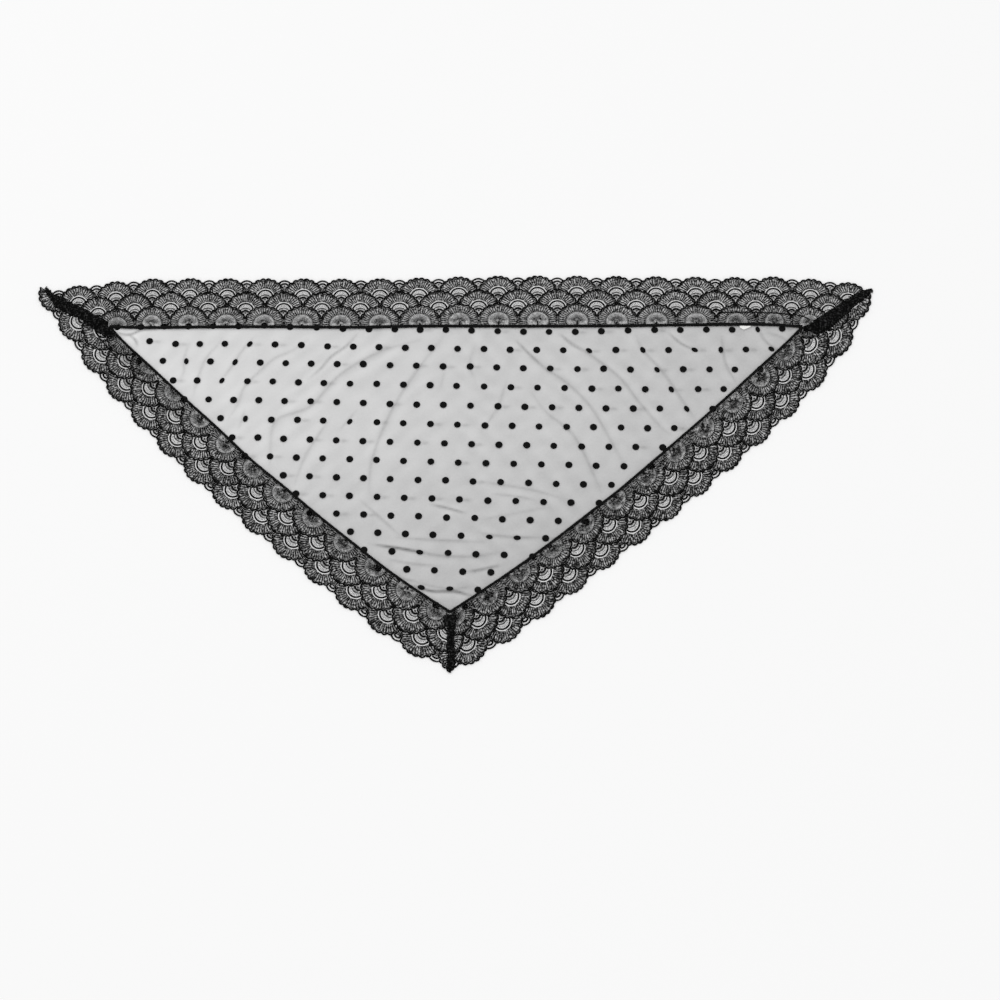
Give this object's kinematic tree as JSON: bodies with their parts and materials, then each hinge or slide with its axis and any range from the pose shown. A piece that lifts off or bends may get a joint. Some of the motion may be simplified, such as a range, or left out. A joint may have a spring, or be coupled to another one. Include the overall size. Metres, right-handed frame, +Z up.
{
  "type": "triangle headscarf",
  "caption": "Sheer black triangle headscarf with flocked dots and wide scalloped fan lace borders, laid flat.",
  "frame": {"origin": "bottom centre of the bounding box, on the surface the scarf lies on", "axes": "+X along the long top edge, towards the scarf's right tip; +Y from the point towards the top edge; +Z up out of the cloth"},
  "size_m": [1.3989, 0.7028, 0.0055],
  "materials": {
    "sheer": "sheer black chiffon, see-through, with a faint silk sheen and flocked black dots",
    "lace": "black machine lace: raised cords and thread-filled fans on a see-through net",
    "seam_thread": "black overlocked seam, closely covered with thread",
    "gathered_lace": "near-black gathered lace and thread, matt and fuzzy",
    "label_ribbon": "plain off-white satin ribbon"
  },
  "bodies": {
    "root": {"centre_panel": "sheer", "lace_top": "lace", "lace_right": "lace", "lace_left": "lace", "seam_top": "seam_thread", "seam_right": "seam_thread", "seam_left": "seam_thread", "mitre_left": "gathered_lace", "mitre_right": "gathered_lace", "mitre_point": "gathered_lace", "label_tab": "label_ribbon"}
  },
  "joints": []
}
